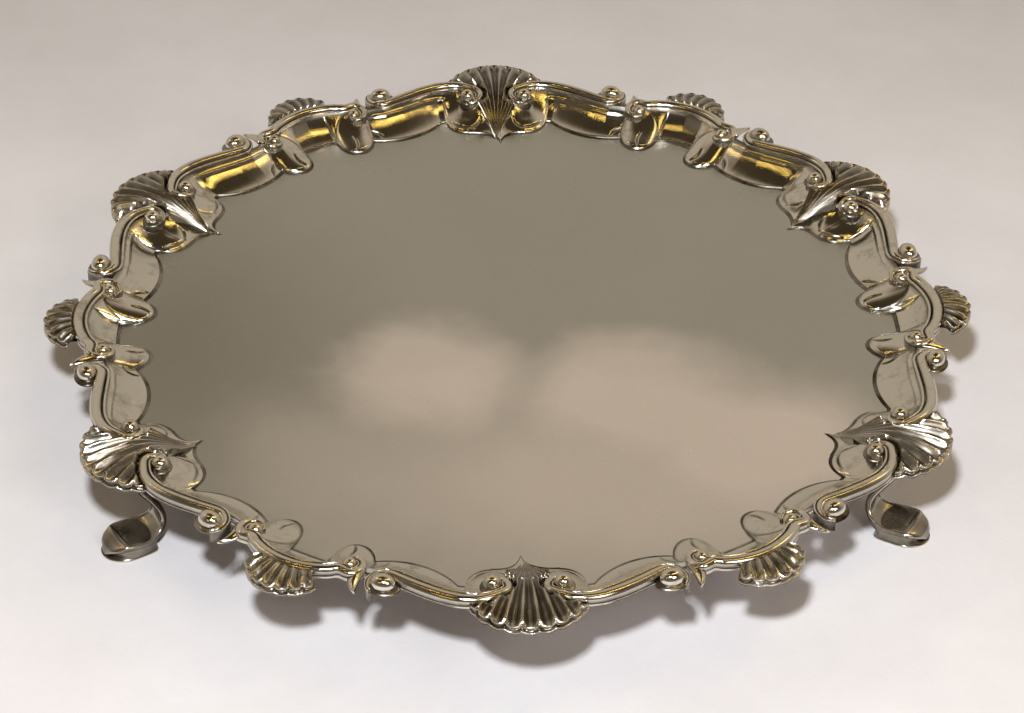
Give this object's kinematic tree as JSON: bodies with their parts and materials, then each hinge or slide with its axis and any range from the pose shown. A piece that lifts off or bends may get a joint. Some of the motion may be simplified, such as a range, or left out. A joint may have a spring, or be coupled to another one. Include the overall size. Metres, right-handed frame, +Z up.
{
  "type": "salver",
  "caption": "Shallow round footed tray of polished silver with a flat well, a raised border of cast scrolls and shells, and short scroll feet.",
  "frame": {"origin": "on the table under the middle of the well, at the level of the foot pads' undersides", "axes": "+Z up, square to the well; one foot, under a large shell, is on +Y and small shells are on +X and -X"},
  "size_m": [0.2638, 0.2652, 0.0356],
  "materials": {
    "plate_silver": "satin silver, worn by polishing",
    "border_silver": "polished silver",
    "scroll_silver": "polished silver, darker in the recesses",
    "shell_silver": "polished silver, darker between the flutes",
    "foot_silver": "polished silver, darker in the recesses"
  },
  "bodies": {
    "root": {"well_plate": "plate_silver", "border_band_1": "border_silver", "border_band_2": "border_silver", "border_band_3": "border_silver", "border_band_4": "border_silver", "border_band_5": "border_silver", "border_band_6": "border_silver", "long_scroll_1": "scroll_silver", "long_scroll_2": "scroll_silver", "long_scroll_3": "scroll_silver", "long_scroll_4": "scroll_silver", "long_scroll_5": "scroll_silver", "long_scroll_6": "scroll_silver", "side_scroll_left_1": "scroll_silver", "side_scroll_left_2": "scroll_silver", "side_scroll_left_3": "scroll_silver", "side_scroll_left_4": "scroll_silver", "side_scroll_left_5": "scroll_silver", "side_scroll_left_6": "scroll_silver", "side_scroll_right_1": "scroll_silver", "side_scroll_right_2": "scroll_silver", "side_scroll_right_3": "scroll_silver", "side_scroll_right_4": "scroll_silver", "side_scroll_right_5": "scroll_silver", "side_scroll_right_6": "scroll_silver", "large_shell_1": "shell_silver", "large_shell_2": "shell_silver", "large_shell_3": "shell_silver", "large_shell_4": "shell_silver", "large_shell_5": "shell_silver", "large_shell_6": "shell_silver", "small_shell_1": "shell_silver", "small_shell_2": "shell_silver", "small_shell_3": "shell_silver", "small_shell_4": "shell_silver", "small_shell_5": "shell_silver", "small_shell_6": "shell_silver", "foot_scroll_1": "foot_silver", "foot_scroll_2": "foot_silver", "foot_scroll_3": "foot_silver", "foot_pad_1": "foot_silver", "foot_pad_2": "foot_silver", "foot_pad_3": "foot_silver"}
  },
  "joints": []
}
